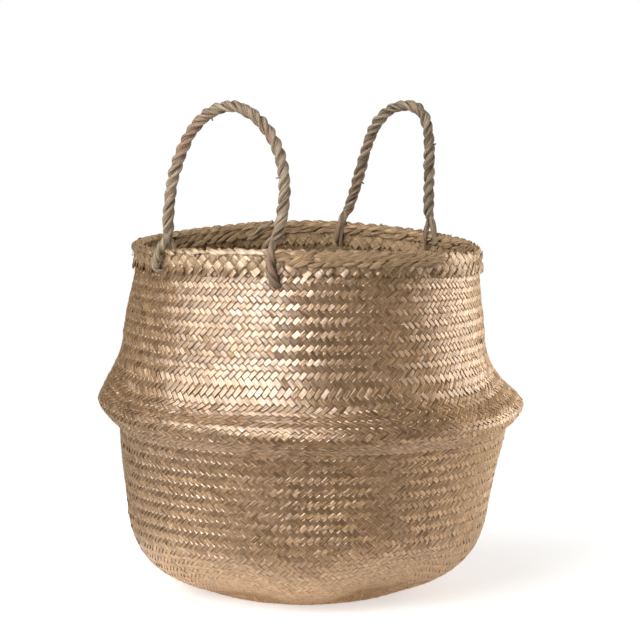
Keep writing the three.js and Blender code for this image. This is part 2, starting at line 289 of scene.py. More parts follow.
def place_mesh(name, mesh, points, tone, high, pattern, materials, sharp=50):
    """Moves a mesh's vertices to points, stores each one's tone, how high it stands in the weave (0 in
    a recess, 1 on top; the materials paint shade into the low places from it) and its place on the
    strip's own pattern, and makes it an object."""
    mesh.vertices.foreach_set("co", (np.asarray(points) * MM).ravel())
    mesh.name = name
    for attribute, values in (("tone", tone), ("high", high)):
        stored = mesh.attributes.new(attribute, "FLOAT", "POINT")
        stored.data.foreach_set("value", np.broadcast_to(values, len(mesh.vertices)).astype(np.float32))
    layer = mesh.uv_layers.new(name="strip")
    corners = whole_numbers(mesh.loops, "vertex_index")
    layer.data.foreach_set("uv", np.asarray(pattern, np.float32)[corners].ravel())
    mesh.polygons.foreach_set("use_smooth", np.ones(len(mesh.polygons), bool))
    for material in materials:
        mesh.materials.append(material)
    mesh.update()
    mesh.set_sharp_from_angle(angle=math.radians(sharp))
    return add_object(name, mesh)


def face_sides(mesh, side):
    """Material 0 on the faces above and 1 on the others, from each vertex's side."""
    corners = whole_numbers(mesh.loops, "vertex_index")
    starts = whole_numbers(mesh.polygons, "loop_start")
    mean = np.add.reduceat(side[corners], starts) / whole_numbers(mesh.polygons, "loop_total")
    mesh.polygons.foreach_set("material_index", (mean < 0.75).astype(np.int32))


# Materials: colours as seen, turned to linear by one function

def linear(code):
    """A colour written as sRGB hex, turned to linear values."""
    parts = [int(code[i:i + 2], 16) / 255 for i in (1, 3, 5)]
    return (*[p / 12.92 if p <= 0.04045 else ((p + 0.055) / 1.055) ** 2.4 for p in parts], 1.0)


def add_node(tree, kind, inputs=None, **settings):
    """Adds one shader node. settings are its own properties; inputs gives a socket a value, or a link
    when the value is a pair of a node and its output."""
    made = tree.nodes.new("ShaderNode" + kind)
    for key, value in settings.items():
        setattr(made, key, value)
    for key, value in (inputs or {}).items():
        if isinstance(value, tuple) and isinstance(value[0], bpy.types.Node):
            tree.links.new(value[0].outputs[value[1]], made.inputs[key])
        else:
            made.inputs[key].default_value = value
    return made


def empty_tree(holder):
    """The nodes of a material or a world, with none in it yet."""
    holder.use_nodes = True
    holder.node_tree.nodes.clear()
    return holder.node_tree


MIX_FACTOR, MIX_A, MIX_B, MIX_RESULT = 0, 6, 7, 2
SMOOTHLY = {"interpolation_type": "SMOOTHSTEP"}

# Grain of the leaf: how fast ribs change along a strip and blotches across and along it, and what its
# tone and its ribs add to its shade. The ranges go from dark to light and from the recess, which is
# painted shade, to the surface
RIBS_ALONG = 0.22
BLOTCHES = (0.8, 0.45, 1)
NOISE = {"Scale": 1.0, "Detail": 2.0, "Roughness": 0.6}
TONE_WEIGHT = 0.55
RIB_WEIGHT = 0.8
RIB_RANGE = {"From Min": 0.4, "From Max": 0.6}
SHADE_RANGE = {"From Min": 0.3, "From Max": 1.8}
SHADED_RECESS_RANGE = {"From Min": 0.34, "From Max": 0.6}
WEAR_SPAN = 0.2
COAT_ROUGHNESS = 0.32
COAT_IOR = 2.2


def rush_material(name, dark, light, worn, bare_and_shaded_recess, rough, wear_from, metal=(0, 0), ridges=4.0, bump=0.5,
                  coat=0.0):
    """Rush: dark and light are the ends of its range of tones, worn its colour where the finish is thin
    and the fourth colour its colour deep in the weave, where the strips dive: painted shade, and under
    the gold also the bare rush that the paint did not reach. metal and rough are (where worn, where
    whole). The lower wear_from is, the more is worn. ridges counts the leaf ribs across a strip, bump is
    their depth, and coat is the gloss of the paint's binder."""
    material = bpy.data.materials.new(name)
    tree = empty_tree(material)
    place = add_node(tree, "TexCoord")
    strip = add_node(tree, "UVMap", uv_map="strip")
    tone = add_node(tree, "Attribute", attribute_name="tone")
    high = add_node(tree, "Attribute", attribute_name="high")
    ribs_place = add_node(tree, "Mapping", {
        "Vector": (strip, "UV"), "Scale": (ridges, RIBS_ALONG, 1)})
    ribs = add_node(tree, "TexNoise", {"Vector": (ribs_place, 0), **NOISE})
    lines = add_node(tree, "MapRange", {"Value": (ribs, "Fac"), **RIB_RANGE}, **SMOOTHLY)
    blotch_place = add_node(tree, "Mapping", {"Vector": (strip, "UV"), "Scale": BLOTCHES})
    blotch = add_node(tree, "TexNoise", {"Vector": (blotch_place, 0), **NOISE})
    broad = add_node(tree, "TexNoise", {
        "Vector": (place, "Object"), "Scale": 14.0, "Detail": 3.0})
    shade = add_node(tree, "Math", {
        0: (tone, "Fac"), 1: TONE_WEIGHT, 2: (blotch, "Fac")}, operation="MULTIPLY_ADD")
    shade = add_node(tree, "Math", {0: (lines, 0), 1: RIB_WEIGHT, 2: (shade, 0)}, operation="MULTIPLY_ADD")
    shade = add_node(tree, "MapRange", {"Value": (shade, 0), **SHADE_RANGE})
    colour = add_node(tree, "Mix", {
        MIX_FACTOR: (shade, 0), MIX_A: linear(dark), MIX_B: linear(light)}, data_type="RGBA")
    wear = add_node(tree, "Math", {0: (blotch, "Fac"), 1: (broad, "Fac")}, operation="ADD")
    wear = add_node(tree, "Math", {0: (ribs, "Fac"), 1: 0.5, 2: (wear, 0)}, operation="MULTIPLY_ADD")
    wear = add_node(tree, "MapRange", {
        "Value": (wear, 0), "From Min": wear_from, "From Max": wear_from + WEAR_SPAN})
    colour = add_node(tree, "Mix", {
        MIX_FACTOR: (wear, 0), MIX_A: (colour, MIX_RESULT), MIX_B: linear(worn)}, data_type="RGBA")
    # The recess colour is painted shade where the strips dive, and under the gold also the bare rush that
    # the paint did not reach
    depth = add_node(tree, "Math", {0: (ribs, "Fac"), 1: 0.4, 2: (high, "Fac")}, operation="MULTIPLY_ADD")
    whole_and_unshaded = add_node(tree, "MapRange", {"Value": (depth, 0), **SHADED_RECESS_RANGE}, **SMOOTHLY)
    colour = add_node(tree, "Mix", {
        MIX_FACTOR: (whole_and_unshaded, 0), MIX_A: linear(bare_and_shaded_recess), MIX_B: (colour, MIX_RESULT)}, data_type="RGBA")
    kept = add_node(tree, "Math", {0: 1.0, 1: (wear, 0)}, operation="SUBTRACT")
    kept = add_node(tree, "Math", {0: (kept, 0), 1: (whole_and_unshaded, 0)}, operation="MULTIPLY")
    metallic = add_node(tree, "MapRange", {
        "Value": (kept, 0), "To Min": metal[0], "To Max": metal[1]})
    roughness = add_node(tree, "MapRange", {
        "Value": (kept, 0), "To Min": rough[0], "To Max": rough[1]})
    relief = add_node(tree, "Bump", {
        "Height": (lines, 0), "Strength": 0.9, "Distance": 0.4 * bump * MM})
    shader = add_node(tree, "BsdfPrincipled", {
        "Base Color": (colour, MIX_RESULT), "Metallic": (metallic, 0), "Roughness": (roughness, 0),
        "Specular Tint": linear("#F0D8B6"), "Coat Weight": coat, "Coat Roughness": COAT_ROUGHNESS,
        "Coat IOR": COAT_IOR, "Normal": (relief, 0)})
    add_node(tree, "OutputMaterial", {"Surface": (shader, "BSDF")})
    return material


# Dry rush under a thin coat of brushed-on metallic gold paint: satin glints along each strip, duller
# and more straw-like where the paint is thin, bare and brown in the recesses, which are darkened
# further with painted shade
gold_rush = rush_material(
    "gold_painted_rush", "#7B562D", "#E0BA90", "#A07747", "#4E371D",
    rough=(0.58, 0.36), wear_from=1.42, metal=(0.2, 0.8), bump=0.75, coat=0.9)
# Bare dry rush: matte, straw to brown
natural_rush = rush_material(
    "natural_rush", "#8C6F50", "#CCAF88", "#AC926E", "#664F35", rough=(0.8, 0.65), wear_from=1.6)
# Wide rush strips of the border under a thinner, patchy coat of the same paint
border_rush = rush_material(
    "thinly_painted_border_rush", "#8D6D4A", "#D8B994", "#A4875E", "#583F26",
    rough=(0.62, 0.35), wear_from=1.4, metal=(0.1, 0.65), coat=0.6)
# Bare rush of the plaited edge: olive-tan, smooth leaf with a faint silk gloss
plait_rush = rush_material(
    "olive_plait_rush", "#745B42", "#C8A985", "#A08565", "#493624",
    rough=(0.65, 0.48), wear_from=1.45, metal=(0, 0.2), bump=0.8)
# Hand-twisted rush rope: grey-olive to pink-brown leaf folds, darkened in the grooves with painted shade
rope_rush = rush_material(
    "twisted_rush_rope", "#4B3F31", "#A3937E", "#8E6C5C", "#281F16",
    rough=(0.75, 0.55), wear_from=1.3, ridges=2.5, bump=0.2)


# Woven wall: every strip of both directions runs from the base to the border, two over and two under

def flattened(wave, rise, flat):
    """A wave from -1 to 1 made steep in its middle and nearly flat beyond the flat share of its height."""
    return np.clip(wave / rise, -flat, flat) + (1 - flat) * wave


def float_height(crossings):
    """Height of a strip that passes over two crossings and under two, from -1 to 1: nearly flat along
    each float, and steep where it dives under the next strip."""
    return flattened(np.cos(2 * np.pi * (crossings - 0.5) / 4), 0.34, 0.9)


GROUPS = 4
PER_GROUP = STRIPS // GROUPS
dives = np.arange(1.5, ROWS, 2)
ROW_STOPS = np.unique(np.clip(np.concatenate([[0, 0.5], dives - 0.2, dives + 0.2, dives + 1]), 0, ROWS))


def wall_group(name, leaning, group):
    """A quarter of the strips of one direction. leaning is 1 for those that climb to the right as seen
    from outside, and -1 for those that climb to the left."""
    steps = len(ROW_STOPS) - 1
    mesh, strip, across, share, side = flat_strips(PER_GROUP, 2, steps)
    number = group * PER_GROUP + strip
    station = np.rint(share * steps).astype(int)
    rows = ROW_STOPS[station]

    def uneven(knots, size):
        return wander(PER_GROUP, ROW_STOPS / ROWS, knots, size)[strip, station]

    drift = uneven(*DRIFT)
    breadth = np.clip(1 + uneven(*BREADTH), *BREADTH_LIMITS)
    tilt = uneven(*TILT) + STRIP_SHINGLE * leaning + STRIP_TILT
    swell = uneven(*SWELL)
    ridge = STRIP_RIDGE * (1 + uneven(*RIDGE))
    on_ridge = np.abs(across) < 0.5
    across = np.where(on_ridge, RIDGE_PLACE, across)
    own = number + drift + 0.5 * STRIP_COVER * breadth * across
    other = number + leaning * rows
    lift = leaning * WEAVE_AMPLITUDE * float_height(rows)
    # Lower where a strip dives under the next: the materials darken it there with painted shade, on the gold
    # together with the bare rush that the paint did not reach
    high = 0.62 + 0.38 * lift / WEAVE_AMPLITUDE
    lift = lift + (side - 0.5) * STRIP_THICKNESS + np.where(on_ridge, ridge * side, 0)
    lift = lift + tilt * across + swell
    row = np.clip(rows - leaning * (own - number), 0, ROWS)
    angle = (own + other) * math.pi / STRIPS
    points = on_wall(angle, row, lift)
    tones = rng.random(PER_GROUP)[strip]
    offsets = rng.random(PER_GROUP)[strip] * 90
    pattern = np.stack([across * 0.5 + 0.5, rows + offsets], 1)
    face_sides(mesh, side)
    made = place_mesh(name, mesh, points, tones, high, pattern, [gold_rush, natural_rush], sharp=20)
    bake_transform(made)
    return made


walls = [wall_group(f"wall_strips_{'right' if leaning > 0 else 'left'}_{group + 1}", leaning, group)
         for leaning in (1, -1) for group in range(GROUPS)]
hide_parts("lower_bowl", "belly_fold", "upper_wall")


# Flat woven base, whose edge lies on the inner ends of the wall's strips. The pitch is the space of a
# strip, the cover its share of it, and the middle the height about which the strips rise and dive

MAT_RADIUS = 79.5
MAT_PITCH = 4.3
MAT_STRIPS = 39
MAT_MIDDLE = 2.95
MAT_AMPLITUDE = 0.42
MAT_THICKNESS = 0.5
MAT_CROWN = 0.1
MAT_COVER = 0.97


def base_mat(name, turned):
    """The strips of one direction of the base, cut off along a circle."""
    steps = 3 * MAT_STRIPS
    mesh, strip, across, share, side = flat_strips(MAT_STRIPS, 2, steps)
    offset = (strip - (MAT_STRIPS - 1) / 2) * MAT_PITCH
    reach = np.sqrt(np.maximum(MAT_RADIUS ** 2 - offset ** 2, 1)) + rng.uniform(-1.5, 1.0, MAT_STRIPS)[strip]
    along = (2 * share - 1) * reach
    crossings = along / MAT_PITCH + (MAT_STRIPS - 1) / 2
    way = -1 if turned else 1
    lift = way * MAT_AMPLITUDE * float_height(way * (crossings - strip))
    lift = lift + (side - 0.5) * MAT_THICKNESS + np.where(side > 0.5, MAT_CROWN * (1 - across ** 2), 0)
    sideways = offset + across * MAT_PITCH * 0.5 * MAT_COVER
    x, y = (along, -sideways) if turned else (sideways, along)
    pattern = np.stack([across * 0.5 + 0.5, along / MAT_PITCH + 7.0 * strip], 1)
    made = place_mesh(name, mesh, np.stack([x, y, MAT_MIDDLE + lift], 1), rng.random(MAT_STRIPS)[strip],
                      0.8, pattern, [natural_rush])
    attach(made, "bowl")


base_mat("base_strips_lengthwise", False)
base_mat("base_strips_crosswise", True)


# Turned-over border: wide strips that slant down over the wall and end in cut tabs, crossed by narrow ones

TAB_COUNT = 90
TAB_COVER = 0.98
WIDE_BREADTHS = (0.9, 1.04)
NARROW_BREADTHS = (0.78, 1.0)
BORDER_RADIUS = 155
BORDER_SLANT = math.radians(48)
BORDER_BOTTOM = 300.5
BORDER_TOP = 321.0
BORDER_ROW = math.pi * BORDER_RADIUS / TAB_COUNT * math.tan(BORDER_SLANT)
BORDER_ROWS = (BORDER_TOP - BORDER_BOTTOM) / BORDER_ROW

# How far its strips rise and dive, their thickness, how far they bulge and stand off the wall, the
# heights over which they turn in over the edge and how far, where they end, and the edge under them
BORDER_AMPLITUDE = 0.48
BORDER_THICKNESS = 0.5
BORDER_CROWN = 0.3
BORDER_STAND_OFF = 2.3
BORDER_TURN = (315.5, 323)
BORDER_TURN_IN = 2.0
BORDER_EDGE = 321.5
EDGE_HEIGHT = 316
upper_heights = middle[:, 1] > UPPER_START


def wall_radius(height):
    """Radius of the middle surface of the upper wall at a height."""
    return np.interp(height, middle[upper_heights, 1], middle[upper_heights, 0])


border_dives = np.arange(0.5, BORDER_ROWS, 1)
BORDER_STOPS = np.unique(np.clip(np.concatenate(
    [[0, BORDER_ROWS - 0.5, BORDER_ROWS - 0.25, BORDER_ROWS], border_dives - 0.13, border_dives + 0.13,
     border_dives + 0.5]), 0, BORDER_ROWS))


def border_strips(name, outside, wide):
    """Strips of the border on one face of the wall. The wide ones make the tabs and the narrow ones
    cross them, showing between them as small bright squares, whose lighter tones are a painted highlight."""
    steps = len(BORDER_STOPS) - 1
    mesh, strip, across, share, side = flat_strips(TAB_COUNT, 3, steps)
    facing = 1 if outside else -1
    across = across * facing
    stop = BORDER_STOPS[np.rint(share * steps).astype(int)]
    share = stop / BORDER_ROWS
    ragged = rng.uniform(-0.22, 0.3, TAB_COUNT)[strip]
    rows = stop + ragged * (1 - share)
    breadth = rng.uniform(*(WIDE_BREADTHS if wide else NARROW_BREADTHS), TAB_COUNT)
    half = 0.5 * TAB_COVER * breadth[strip]
    leaning = -1 if wide else 1
    own = strip + half * across + rng.normal(0, 0.04, TAB_COUNT)[strip]
    other = strip + leaning * rows
    row = rows - leaning * (own - strip)
    angle = (own + other) * math.pi / TAB_COUNT
    lift = -leaning * BORDER_AMPLITUDE * flattened(np.cos(math.pi * stop), 0.42, 0.92)
    # Lower where a strip dives: the materials darken it there with painted shade
    high = 0.68 + 0.32 * lift / BORDER_AMPLITUDE
    tilt = (0.1 + rng.normal(0, 0.2, TAB_COUNT)[strip]) * across * facing
    pitch = rng.normal(0, 0.22, (TAB_COUNT, 5))[strip, np.clip(np.rint(stop), 0, 4).astype(int)]
    open_end = rng.uniform(0.3, 2.0, TAB_COUNT)[strip] * (1 - smooth(share, 0, 0.26)) if wide else 0
    crown = np.where(side > 0.5, BORDER_CROWN * (1 - across ** 2), 0)
    lift = lift + (side - 0.5) * BORDER_THICKNESS + crown + tilt + pitch * (stop - np.rint(stop)) + open_end
    height = BORDER_BOTTOM + row * BORDER_ROW
    over = smooth(height, *BORDER_TURN)
    radius = wall_radius(np.minimum(height, EDGE_HEIGHT))
    radius = radius + facing * (BORDER_STAND_OFF + lift - BORDER_TURN_IN * over)
    edge = BORDER_EDGE + rng.normal(0, 0.7, TAB_COUNT)[strip]
    points = swayed(angle, radius, np.minimum(height, edge + 0.4 * lift))
    pattern = np.stack([across * 0.8 + 0.5, rows * 2.0 + strip * 7.3], 1)
    # The narrow strips take lighter tones than the wide ones: a painted highlight
    tones = rng.random(TAB_COUNT)[strip] * (0.9 if wide else 0.4) + (0 if wide else 0.6)
    tones = tones - 0.6 * (1 - smooth(share, 0.04, 0.42))
    # Darker towards the right flank: painted shade
    tones = tones - 0.7 * smooth(np.cos(angle - FLANK), 0.45, 0.85)
    made = place_mesh(name, mesh, points, tones, high, pattern,
                      [border_rush if outside else natural_rush], sharp=24)
    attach(made, "upper")
    return made


outer_tabs = border_strips("border_tabs_outer", True, True)
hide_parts("rim_band_outer")
border_strips("border_crossings_outer", True, False)
inner_tabs = border_strips("border_tabs_inner", False, True)
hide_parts("rim_band_inner")
border_strips("border_crossings_inner", False, False)


# Flat three-strand plait along the top edge. It lies on the edge at the front and left, and hangs over
# the outer face, broader and looser, around the right. Its strands swing to and fro by the half width
# and rise and dive by the height

PLAIT_TURNS = 25
PLAIT_RINGS = 18
PLAIT_SIDES = 12
PLAIT_HALF_WIDTH = 3.8
PLAIT_HEIGHT = 1.0
PLAIT_MIDDLE = 152.6
PLAIT_BASE = 320.6
PLAIT_BEND = 6.0
PLAIT_HANG = 8.2
PLAIT_SINK = 3.5
PLAIT_LEAF_HALF = 2.9
PLAIT_LEAF_THICK = 1.1


def hanging(angle):
    """How far the plait hangs over the outer face, from 0 to 1, at an angle round. It lies towards the
    inside, below 0, at the far side."""
    turn = np.mod(np.degrees(angle) + 60, 360) - 60
    return band(turn, 16, 27, 62, 86) - 0.4 * band(turn, 135, 170, 250, 290)


def bare_edge(angle):
    """How far the edge goes without the plait, from 0 to 1: at the left of the front and at the right
    flank the border's own strips turn over it."""
    turn = np.mod(np.degrees(angle) + 180, 360) - 180
    return band(turn, -70, -50, 12, 20) + band(turn, 70, 88, 128, 142)


def plait_strand(number):
    """One strand of the plait: it swings from side to side and over and under the other two."""
    mesh, turn, share, reach = long_tube(PLAIT_SIDES, PLAIT_TURNS * PLAIT_RINGS)
    angle = 2 * math.pi * share
    low, bare = hanging(angle), bare_edge(angle)
    shown = np.clip(low, 0, 1)
    phase = PLAIT_TURNS * angle + 2 * math.pi * number / 3
    wobble = 0.4 * np.sin(angle * 11 + number * 2) + 0.35 * np.sin(angle * 29 + number)
    swing = PLAIT_HALF_WIDTH * (1 + 0.25 * shown) * (1 - 0.75 * bare)
    sideways = swing * np.sin(phase) + wobble + PLAIT_HANG * low - 1.2 * bare
    lift = PLAIT_HEIGHT * np.sin(2 * phase)
    slope = swing * PLAIT_TURNS / PLAIT_MIDDLE * np.cos(phase)
    level = 1 / np.sqrt(1 + slope ** 2)
    uneven = 1 + 0.16 * np.sin(angle * 17 + number * 1.7) + 0.1 * np.sin(angle * 41)
    half_wide = (PLAIT_LEAF_HALF + 0.2 * shown) * uneven
    half_wide = half_wide * (1 - 0.65 * bare) * (1 - 0.3 * np.sin(phase) ** 4)
    fold = 1 + 0.12 * np.cos(5 * turn + 2 * np.sin(angle * 6 + number))
    flat = half_wide * np.cos(turn) * reach
    thick = PLAIT_LEAF_THICK * np.sin(turn) * reach * fold
    lateral = sideways + flat * level
    forward = -flat * slope * level
    bend = np.clip(lateral, -8, PLAIT_BEND * math.pi / 2) / PLAIT_BEND
    hung = np.maximum(lateral - PLAIT_BEND * math.pi / 2, 0)
    radius = PLAIT_MIDDLE + PLAIT_BEND * np.sin(bend) + (lift + thick) * np.sin(bend)
    height = PLAIT_BASE - PLAIT_BEND * (1 - np.cos(bend)) * 0.8 + (lift + thick) * np.cos(bend) - hung
    points = swayed(angle + forward / PLAIT_MIDDLE, radius, height - PLAIT_SINK * bare)
    tone = 0.5 + 0.3 * np.sin(angle * 7 + number * 2.1) + 0.3 * np.sin(phase * 2 + number)
    tone = tone + 0.4 * shown
    # Lower where the strand dives under the others and at its edges: the material darkens it there with
    # painted shade
    high = 0.72 + 0.25 * np.sin(2 * phase) - 0.35 * np.cos(turn) ** 6
    pattern = np.stack([turn / math.pi, share * 2 * math.pi * PLAIT_MIDDLE / 5.5 + number * 31], 1)
    made = place_mesh(f"edge_plait_strand_{number + 1}", mesh, points, tone, high, pattern, [plait_rush])
    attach(made, "upper")
    return made


plait = [plait_strand(number) for number in range(3)]
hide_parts("rim_edge_braid")


# Long leaves laid over the plait and the border in slanting rows: on the outer face at the right and
# along the edge at the left, and on the inner face at the far side

LEAF_THICKNESS = 0.45
LEAF_TURN_HEIGHT = 317.5


def edge_leaves(name, count, start, stop, levels, radius, slant, length, material=plait_rush):
    """Pointed leaves from one angle in degrees to another, in rows at the given heights."""
    mesh, strip, across, share, side = flat_strips(count, 2, 7)
    angle = np.radians(np.linspace(start, stop, count) + rng.normal(0, 0.5, count))
    level = np.resize(levels, count) + rng.normal(0, 0.5, count)
    lean = np.radians(slant + rng.normal(0, 6, count))
    long = length * rng.uniform(0.8, 1.2, count)
    wide = rng.uniform(1.4, 2.6, count)
    run = (share - 0.5) * long[strip]
    half = across * wide[strip] * np.sin(math.pi * np.clip(share, 0.06, 0.94)) ** 0.6
    sideways = run * np.cos(lean[strip]) - half * np.sin(lean[strip])
    height = level[strip] + run * np.sin(lean[strip]) + half * np.cos(lean[strip])
    facing = 1 if radius > PLAIT_MIDDLE else -1
    arch = 0.9 * np.sin(math.pi * share) + 0.5 * (1 - across ** 2) + 0.5 * rng.random(count)[strip]
    inward = 0.2 * np.maximum(height - LEAF_TURN_HEIGHT, 0) ** 1.5
    far = radius + facing * (arch + (side - 0.5) * LEAF_THICKNESS - inward)
    points = swayed(angle[strip] + sideways / radius, far, height)
    pattern = np.stack([across * 0.7 + 0.5, share * 3 + strip * 5.1], 1)
    high = 0.9 - 0.3 * across ** 2
    made = place_mesh(name, mesh, points, rng.random(count)[strip], high, pattern, [material])
    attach(made, "upper")


edge_leaves("edge_leaves_right", count=44, start=24, stop=78, levels=(317.5, 314.5, 310.5),
            radius=159.6, slant=17, length=15)
edge_leaves("edge_leaves_far", count=66, start=128, stop=268, levels=(318, 313.5),
            radius=147.6, slant=-14, length=17)
# The leaves at the far left of the inside take the lighter natural rush: painted light on a shaded part
edge_leaves("edge_leaves_far_left", count=34, start=222, stop=292, levels=(313, 309),
            radius=147.4, slant=-20, length=14, material=natural_rush)
edge_leaves("edge_leaves_left", count=26, start=-68, stop=17, levels=(319.6,),
            radius=157.6, slant=-16, length=15, material=border_rush)


# Loose leaf ends that stand out of the border and the plait

LEAF_ENDS = 170
LEAF_END_LEVELS = (308, 320.5)
LEAF_END_LENGTHS = (1.6, 4.8)
OUTWARD_SHARE = 0.6


def leaf_ends(name):
    """Short flat tapering ends of leaves, at random around the rim."""
    mesh, strip, across, share, side = flat_strips(LEAF_ENDS, 1, 3)
    start = rng.random(LEAF_ENDS) * 2 * math.pi
    outward = rng.random(LEAF_ENDS) < OUTWARD_SHARE
    level = rng.uniform(*LEAF_END_LEVELS, LEAF_ENDS)
    length = rng.uniform(*LEAF_END_LENGTHS, LEAF_ENDS)
    heading = rng.uniform(-1, 1, LEAF_ENDS)
    heading = heading + np.where(level > EDGE_HEIGHT, math.pi / 2, -math.pi / 2)
    rise = rng.uniform(0.1, 0.5, LEAF_ENDS)
    run = length[strip] * share
    wide = across * rng.uniform(0.6, 1.5, LEAF_ENDS)[strip] * (1 - 0.75 * share)
    facing = np.where(outward, 1, -1)[strip]
    height = level[strip] + run * np.sin(heading[strip]) + wide * np.cos(heading[strip])
    sideways = run * np.cos(heading[strip]) - wide * np.sin(heading[strip])
    stand_off = 4.2 - 3.6 * smooth(level[strip], 314, 322) + run * rise[strip]
    radius = wall_radius(EDGE_HEIGHT) + facing * (stand_off + (side - 0.5) * LEAF_THICKNESS)
    points = swayed(start[strip] + sideways / radius, radius, height)
    pattern = np.stack([across * 0.4 + 0.5, share + strip * 3.1], 1)
    made = place_mesh(name, mesh, points, rng.random(LEAF_ENDS)[strip], 0.9, pattern, [plait_rush])
    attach(made, "upper")


leaf_ends("border_leaf_ends")


# Three-strand ropes of the handles, on the same middle lines as their solids

ROPE_DIAMETER = 10.4
ROPE_PITCH = 33
ROPE_EXTRA_RINGS = 60
STRAND_RADIUS = 2.65
STRAND_SIDES = 20
LEAF_FOLDS = 3
FOOT_DEPTH = 4.2
HINGE_HEIGHT = 331.26
ROOT_RADIUS = 152.5

# Each handle: degrees round to its middle and from there to a foot, how far its top stands above and
# beside the middle of its feet, and, as shares of that height, how far each leg leans out and rises and
# how far it runs along the top
HANDLES = {
    "front": (0, 21.1, 111.5, 14, (0, 0.7, 0.29), (0.3, 0.66, 0.19)),
    "back": (182, 17.1, 100, -20.5, (-0.06, 0.33, 0.37), (-0.21, 0.35, 0.45)),
}


def run_along(line):
    """How far each point of a line lies along it."""
    return np.concatenate([[0], np.cumsum(np.linalg.norm(np.diff(line, axis=0), axis=1))])


def evenly(line, count):
    """Evenly spaced points along a line."""
    run = run_along(line)
    even = np.linspace(0, run[-1], count)
    return np.stack([np.interp(even, run, line[:, i]) for i in range(3)], 1)


def handle_line(azimuth, half_angle, top, shift, first_leg, second_leg):
    """Evenly spaced points along a handle's middle line, its length, and the direction out of its plane."""
    half = math.radians(half_angle)
    out, along = direction_at(azimuth), direction_at(azimuth + 90)
    chord, span = ROOT_RADIUS * math.cos(half), ROOT_RADIUS * math.sin(half)

    def place(sideways, height):
        return out * chord + along * sideways + np.array([0, 0, HINGE_HEIGHT + height])

    share = np.linspace(0, 1, 200)
    lean, rise, reach = np.array(first_leg) * top
    first = on_curve([place(-span, -FOOT_DEPTH), place(-span - lean, rise),
                      place(shift - reach, top), place(shift, top)], share)
    lean, rise, reach = np.array(second_leg) * top
    second = on_curve([place(shift, top), place(shift + reach, top),
                       place(span + lean, rise), place(span, -FOOT_DEPTH)], share)
    line = np.concatenate([first, second[1:]])
    return evenly(line, 2 * int(top) + ROPE_EXTRA_RINGS), run_along(line)[-1], out


def frames_along(centres, hint):
    """Unit side and upright at each point of a line. hint is roughly the side."""
    direction = unit(np.gradient(centres, axis=0))
    side = unit(hint - direction * np.sum(hint * direction, axis=1)[:, None])
    return side, np.cross(direction, side)


def leafy_strand(name, centres, hint, radius, tone, body, seed, twist=0.0, in_rope=False):
    """A strand of folded leaves along centres: a bar whose skin is pressed into folds that run along
    it, turning by twist radians in a millimetre."""
    mesh, turn, share, reach = long_tube(STRAND_SIDES, len(centres) - 1)
    station = np.rint(share * (len(centres) - 1)).astype(int)
    side, upright = frames_along(centres, hint)
    local = np.random.default_rng(seed)
    phases = local.uniform(0, 2 * math.pi, 4)
    length = run_along(centres)[station]
    creep = 0.35 * np.sin(length / 23 + phases[0]) + twist * length
    leaf = np.cos(LEAF_FOLDS * (turn + creep) + phases[1])
    fold = 0.12 * leaf + 0.03 * np.cos(2 * turn + phases[2] + length / 17)
    bulk = 1 + 0.09 * np.sin(length / 9 + phases[3]) + 0.07 * np.sin(length / 3.7 + phases[0])
    skin = radius[station] * reach * (1 + fold * reach) * bulk
    points = (centres[station] + side[station] * (skin * np.cos(turn))[:, None]
              + upright[station] * (skin * np.sin(turn))[:, None])
    # Lower in the valleys of the folds and, in a rope, on the sides of the strand that face the other
    # strands: the material darkens these places with painted shade
    high = 0.78 + 1.5 * fold
    if in_rope:
        high = high - 0.5 * (1 - smooth(np.cos(turn), -0.3, 0.55))
    # Lighter on the crests of the folds and darker in their valleys: painted highlight and shade
    tone = tone + 0.45 * leaf + 0.3 * np.sin(length / 31 + phases[2])
    pattern = np.stack([np.abs(turn + creep) / math.pi * 2, length / (2 * np.mean(radius)) + seed * 13.7], 1)
    made = place_mesh(name, mesh, points, tone, high, pattern, [rope_rush], sharp=70)
    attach(made, body)
    return made


STRAND_TONES = [0.35, 0.6, 0.8]
rope_lines = {}

for side_name, handle in HANDLES.items():
    middle_line, rope_length, out = handle_line(*handle)
    rope_lines[side_name] = middle_line
    count = len(middle_line)
    turns = round(rope_length / ROPE_PITCH)
    share = np.linspace(0, 1, count)
    across, over = frames_along(middle_line, np.cross(out, np.gradient(middle_line, axis=0)))
    to_foot = np.minimum(share, 1 - share) * rope_length
    draw_in = 0.55 + 0.45 * smooth(to_foot, 0, 9)
    for number in range(1, 4):
        angle = 2 * math.pi * number / 3 + 2 * math.pi * turns * share
        offset = (ROPE_DIAMETER / 2 - STRAND_RADIUS) * draw_in
        hint = (offset * np.cos(angle))[:, None] * across + (offset * np.sin(angle))[:, None] * over
        centres = middle_line + hint
        strand = leafy_strand(f"{side_name}_rope_strand_{number}", centres, hint,
                              STRAND_RADIUS * (0.6 + 0.4 * draw_in), STRAND_TONES[number - 1],
                              f"{side_name}_handle", seed=number + (10 if side_name == "back" else 0),
                              in_rope=True)
        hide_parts(f"{side_name}_handle_strand_{number}")


# Strands at the four feet, where the rope is laced through the wall: each runs through points given as
# (radius, millimetres to the right along the rim as seen from outside, height)

def through(points, count):
    """Evenly spaced points along a smooth line through the given ones."""
    p = np.array(points, float)
    p = np.concatenate([[2 * p[0] - p[1]], p, [2 * p[-1] - p[-2]]])
    share = np.linspace(0, 1, 16, endpoint=False)
    line = [on_curve([here, here + (there - before) / 6, there - (after - here) / 6, there], share)
            for before, here, there, after in zip(p, p[1:], p[2:], p[3:])]
    return evenly(np.concatenate(line + [p[-2:-1]]), count)


